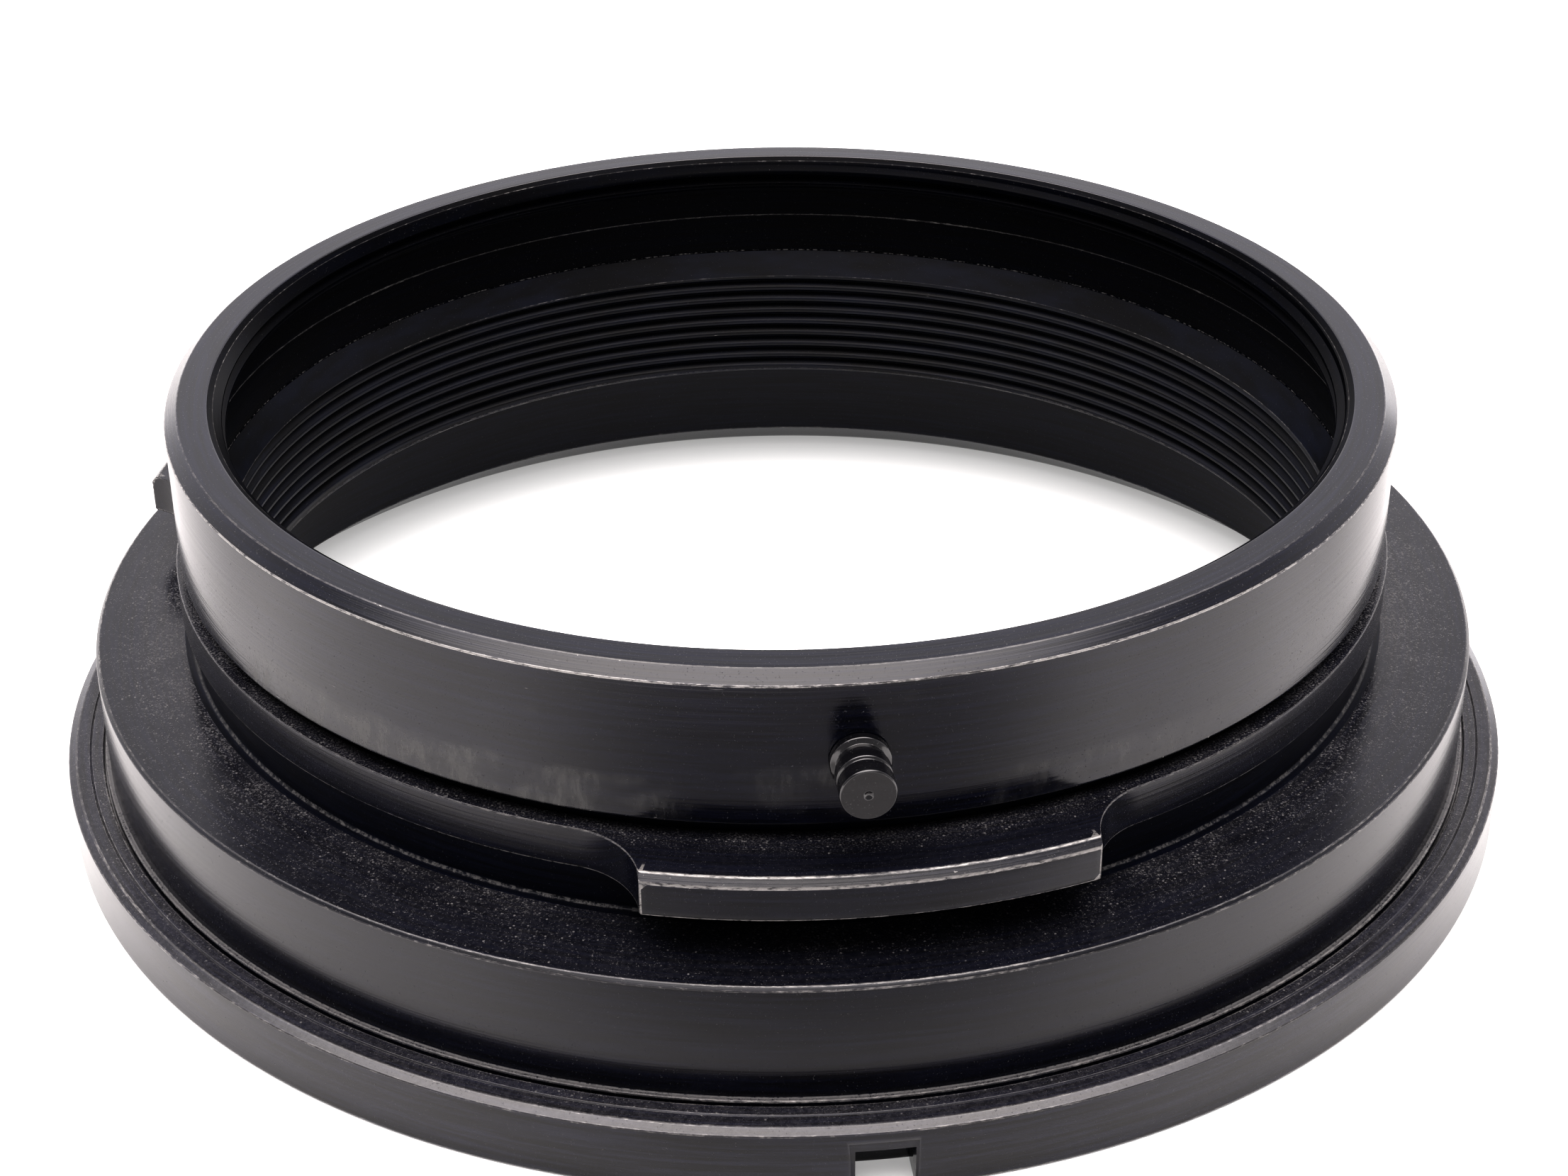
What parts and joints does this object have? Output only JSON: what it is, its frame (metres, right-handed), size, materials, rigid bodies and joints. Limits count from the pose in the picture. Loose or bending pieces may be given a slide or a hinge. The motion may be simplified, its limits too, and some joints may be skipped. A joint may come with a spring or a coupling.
{
  "type": "bayonet thread adapter",
  "caption": "Black turned telescope adapter: threaded tube with bayonet lugs and an index pin, stepped collar, and a slotted coupling ring that turns at the base.",
  "frame": {"origin": "on the tube's axis, in the plane of the rear face that the adapter stands on", "axes": "+Z along the tube's axis towards the front thread and the bayonet; -Y is the side with the index pin and the key slot, which are about 6 degrees towards +X"},
  "size_m": [0.076, 0.076, 0.022],
  "materials": {
    "sleeve_black": "black anodised, satin, dusty in the thread",
    "barrel_black": "black anodised, fine turning marks, bare metal along the worn rim",
    "bayonet_black": "black anodised, worn bright along the lugs' edges",
    "body_black": "black anodised, satin, dust in the corners",
    "coupling_black": "black anodised, turned front face, satin wall",
    "spring_steel": "bare spring steel",
    "pin_black": "blackened steel, polished at its edges"
  },
  "bodies": {
    "tube": {"thread_sleeve": "sleeve_black", "barrel": "barrel_black", "bayonet_ring": "bayonet_black", "mount_body": "body_black", "snap_ring": "spring_steel", "index_pin": "pin_black"},
    "coupling": {"coupling_ring": "coupling_black"}
  },
  "joints": [
    {"name": "coupling_turn", "type": "hinge", "parent": "tube", "child": "coupling", "pos_m": [0, 0, 0.0017], "axis": [0, 0, 1], "continuous": true}
  ]
}
